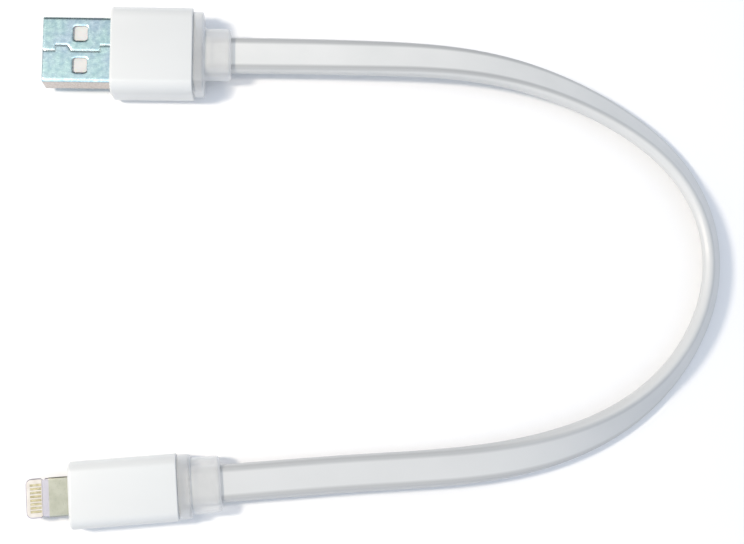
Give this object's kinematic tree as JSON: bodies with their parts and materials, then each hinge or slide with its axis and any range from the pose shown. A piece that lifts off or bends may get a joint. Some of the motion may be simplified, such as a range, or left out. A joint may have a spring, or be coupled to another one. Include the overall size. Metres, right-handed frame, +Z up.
{
  "type": "charging cable",
  "caption": "Short flat ribbon charging cable bent into a loop, with a USB-A plug at one end and a flat eight-contact phone plug at the other.",
  "frame": {"origin": "centre of the USB shell's mouth", "axes": "+X from the mouth along the USB plug towards the cable, +Z up from the table the cable lies on"},
  "size_m": [0.1237, 0.092, 0.0078],
  "materials": {
    "shell_steel": "pale tin-plated steel, softly mottled",
    "can_steel": "plain tinned steel",
    "carrier_plastic": "cream moulded plastic",
    "contact_gold": "gold plating",
    "solder": "dull solder",
    "mould_plastic": "hard moulded polyethylene",
    "sleeve_plastic": "glossy white",
    "relief_rubber": "milky translucent soft plastic",
    "jacket_rubber": "milky translucent soft plastic",
    "wire_insulation": "soft wire insulation",
    "copper": "bare copper strands",
    "board_laminate": "green solder mask",
    "chip_black": "black moulding",
    "capacitor_ceramic": "fired ceramic"
  },
  "bodies": {
    "usb_plug": {"usb_shell": "shell_steel", "usb_contact_carrier": "carrier_plastic", "usb_power_contacts": "contact_gold", "usb_data_contacts": "contact_gold", "usb_solder_joints": "solder", "usb_inner_mould": "mould_plastic", "usb_sleeve": "sleeve_plastic", "usb_strain_relief": "relief_rubber", "usb_jacket_end": "jacket_rubber", "usb_wire_tails": "wire_insulation", "usb_conductor_tails": "copper"},
    "cable_length_01": {"cable_jacket_01": "jacket_rubber", "cable_wires_01": "wire_insulation", "cable_conductors_01": "copper"},
    "cable_length_02": {"cable_jacket_02": "jacket_rubber", "cable_wires_02": "wire_insulation", "cable_conductors_02": "copper"},
    "cable_length_03": {"cable_jacket_03": "jacket_rubber", "cable_wires_03": "wire_insulation", "cable_conductors_03": "copper"},
    "cable_length_04": {"cable_jacket_04": "jacket_rubber", "cable_wires_04": "wire_insulation", "cable_conductors_04": "copper"},
    "cable_length_05": {"cable_jacket_05": "jacket_rubber", "cable_wires_05": "wire_insulation", "cable_conductors_05": "copper"},
    "cable_length_06": {"cable_jacket_06": "jacket_rubber", "cable_wires_06": "wire_insulation", "cable_conductors_06": "copper"},
    "cable_length_07": {"cable_jacket_07": "jacket_rubber", "cable_wires_07": "wire_insulation", "cable_conductors_07": "copper"},
    "cable_length_08": {"cable_jacket_08": "jacket_rubber", "cable_wires_08": "wire_insulation", "cable_conductors_08": "copper"},
    "cable_length_09": {"cable_jacket_09": "jacket_rubber", "cable_wires_09": "wire_insulation", "cable_conductors_09": "copper"},
    "cable_length_10": {"cable_jacket_10": "jacket_rubber", "cable_wires_10": "wire_insulation", "cable_conductors_10": "copper"},
    "cable_length_11": {"cable_jacket_11": "jacket_rubber", "cable_wires_11": "wire_insulation", "cable_conductors_11": "copper"},
    "phone_plug": {"phone_tab_shell": "shell_steel", "phone_contact_insert": "carrier_plastic", "phone_top_contacts": "contact_gold", "phone_bottom_contacts": "contact_gold", "phone_circuit_board": "board_laminate", "phone_control_chip": "chip_black", "phone_capacitors": "capacitor_ceramic", "phone_resistors": "chip_black", "phone_solder_joints": "solder", "phone_shield_can": "can_steel", "phone_sleeve": "sleeve_plastic", "phone_strain_relief": "relief_rubber", "phone_jacket_end": "jacket_rubber", "phone_wire_tails": "wire_insulation", "phone_conductor_tails": "copper"}
  },
  "joints": [
    {"name": "usb_plug_bend", "type": "hinge", "parent": "usb_plug", "child": "cable_length_01", "pos_m": [0.0422, 0, 0], "axis": [0, 1, 0], "range_deg": [-35, 35]},
    {"name": "usb_plug_twist", "type": "hinge", "parent": "cable_length_01", "child": "cable_length_02", "pos_m": [0.0572, -0.0001, -0.00007], "axis": [0.9999, -0.0135, -0.007], "range_deg": [-45, 45]},
    {"name": "loop_bend_1", "type": "hinge", "parent": "cable_length_02", "child": "cable_length_03", "pos_m": [0.08012, -0.0017, -0.0002], "axis": [0, 0, 1], "range_deg": [-4, 22]},
    {"name": "loop_bend_2", "type": "hinge", "parent": "cable_length_03", "child": "cable_length_04", "pos_m": [0.10418, -0.01108, -0.00038], "axis": [0, 0, 1], "range_deg": [-4, 22]},
    {"name": "loop_bend_3", "type": "hinge", "parent": "cable_length_04", "child": "cable_length_05", "pos_m": [0.11526, -0.02107, -0.00046], "axis": [0, 0, 1], "range_deg": [-4, 22]},
    {"name": "loop_bend_4", "type": "hinge", "parent": "cable_length_05", "child": "cable_length_06", "pos_m": [0.11968, -0.03051, -0.00052], "axis": [0, 0, 1], "range_deg": [-4, 22]},
    {"name": "loop_bend_5", "type": "hinge", "parent": "cable_length_06", "child": "cable_length_07", "pos_m": [0.12015, -0.04045, -0.00058], "axis": [0, 0, 1], "range_deg": [-4, 22]},
    {"name": "loop_bend_6", "type": "hinge", "parent": "cable_length_07", "child": "cable_length_08", "pos_m": [0.11568, -0.05255, -0.00065], "axis": [0, 0, 1], "range_deg": [-4, 22]},
    {"name": "loop_bend_7", "type": "hinge", "parent": "cable_length_08", "child": "cable_length_09", "pos_m": [0.10555, -0.06349, -0.00074], "axis": [0, 0, 1], "range_deg": [-4, 22]},
    {"name": "loop_bend_8", "type": "hinge", "parent": "cable_length_09", "child": "cable_length_10", "pos_m": [0.08883, -0.07113, -0.00085], "axis": [0, 0, 1], "range_deg": [-4, 22]},
    {"name": "phone_plug_twist", "type": "hinge", "parent": "cable_length_10", "child": "cable_length_11", "pos_m": [0.05607, -0.0748, -0.00103], "axis": [-0.9983, -0.0591, -0.0029], "range_deg": [-45, 45]},
    {"name": "phone_plug_bend", "type": "hinge", "parent": "cable_length_11", "child": "phone_plug", "pos_m": [0.0411, -0.07577, -0.00105], "axis": [-0.0698, 0.9976, 0], "range_deg": [-35, 35]}
  ]
}
